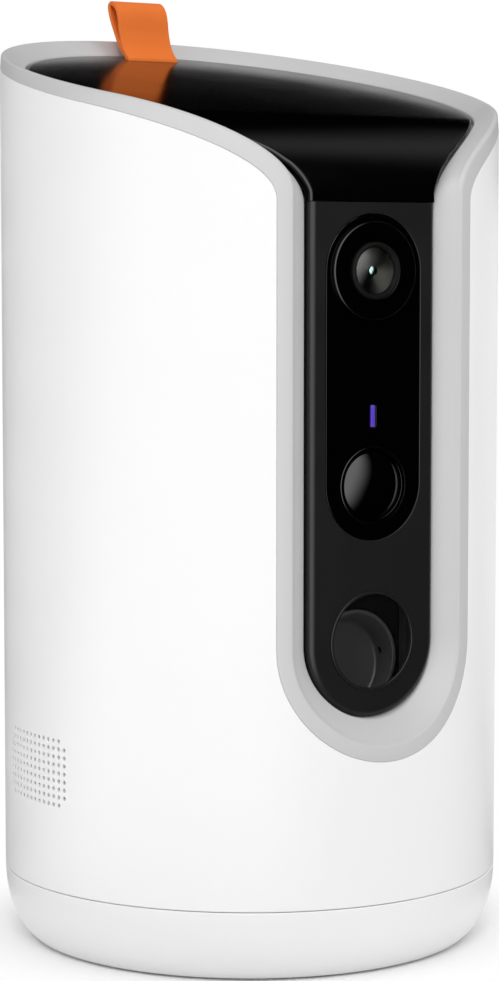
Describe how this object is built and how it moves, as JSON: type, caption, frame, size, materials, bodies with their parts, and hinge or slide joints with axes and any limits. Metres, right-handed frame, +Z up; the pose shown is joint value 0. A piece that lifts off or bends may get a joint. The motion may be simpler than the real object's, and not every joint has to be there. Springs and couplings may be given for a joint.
{
  "type": "treat-tossing pet camera",
  "caption": "Upright drum pet camera with slanted lift-off lid, strap, front panel with lens, motion sensor and treat outlet, inner hopper, rotor and swinging scoop.",
  "frame": {"origin": "centre of the foot ring's underside, where the drum's axis meets the surface it stands on", "axes": "+Z up along the drum's axis, -Y towards the front panel, +X to the panel's left seen from inside, which is a viewer's right"},
  "size_m": [0.123, 0.123, 0.2359],
  "materials": {
    "white": "satin white moulding",
    "light_grey": "fine matte",
    "gloss_black": "polished",
    "satin_black": "finely brushed satin",
    "dark_grey": "fine matte",
    "mid_grey": "fine matte",
    "natural": "uncoloured acetal",
    "smoke": "smooth moulding",
    "rubber": "matte",
    "silicone": "matte",
    "strap": "smooth coated strap",
    "board": "solder mask",
    "steel": "plain",
    "weight": "plain",
    "motor": "plated can",
    "lens": "polished, coated",
    "indigo": "lit from behind",
    "cone": "paper cone and magnet, one colour"
  },
  "bodies": {
    "body": {"base_cup": "white", "foot_ring": "rubber", "base_weight": "weight", "base_screw_1": "steel", "base_screw_2": "steel", "base_screw_3": "steel", "lower_deck": "mid_grey", "upper_deck": "mid_grey", "deck_post_1": "steel", "deck_post_2": "steel", "deck_post_3": "steel", "deck_post_4": "steel", "outer_shell": "white", "trim_ring": "light_grey", "front_carrier": "dark_grey", "front_panel": "satin_black", "panel_inset": "gloss_black", "camera_ring": "gloss_black", "lens_barrel": "satin_black", "lens_glass": "lens", "camera_board": "board", "light_pipe": "indigo", "sensor_ring": "gloss_black", "sensor_dome": "gloss_black", "sensor_can": "steel", "sensor_board": "board", "microphone": "steel", "treat_store": "smoke", "store_collar": "dark_grey", "rotor_motor": "motor", "launch_bracket": "dark_grey", "launch_motor": "motor", "launch_spring": "steel", "main_board": "board", "power_inlet": "steel", "reset_switch": "dark_grey", "speaker": "cone", "speaker_holder": "dark_grey"},
    "lid": {"lid": "gloss_black", "lid_seal": "silicone", "pull_tab": "strap"},
    "rotor": {"dispense_rotor": "light_grey", "rotor_shaft": "steel"},
    "scoop": {"launch_scoop": "mid_grey", "launch_axle": "steel", "arm_gear": "natural"},
    "pinion": {"drive_pinion": "natural", "motor_shaft": "steel"},
    "button": {"reset_button": "white"}
  },
  "joints": [
    {"name": "lid_lift", "type": "slide", "parent": "body", "child": "lid", "axis": [0, 0, 1], "range_m": [0, 0.06]},
    {"name": "rotor_spin", "type": "hinge", "parent": "body", "child": "rotor", "pos_m": [0, 0.0025, 0.109], "axis": [0, 0, 1], "continuous": true},
    {"name": "launch_swing", "type": "hinge", "parent": "body", "child": "scoop", "pos_m": [0, -0.024, 0.044], "axis": [1, 0, 0], "range_deg": [-55, 0]},
    {"name": "pinion_spin", "type": "hinge", "parent": "body", "child": "pinion", "pos_m": [0, -0.003, 0.044], "axis": [1, 0, 0], "range_deg": [0, 140]},
    {"name": "reset_press", "type": "slide", "parent": "body", "child": "button", "axis": [0, -1, 0], "range_m": [0, 0.0006], "stiffness_N_per_m": 400}
  ],
  "couplings": [
    {"joint": "pinion_spin", "follows": "launch_swing", "ratio": -2.5}
  ]
}
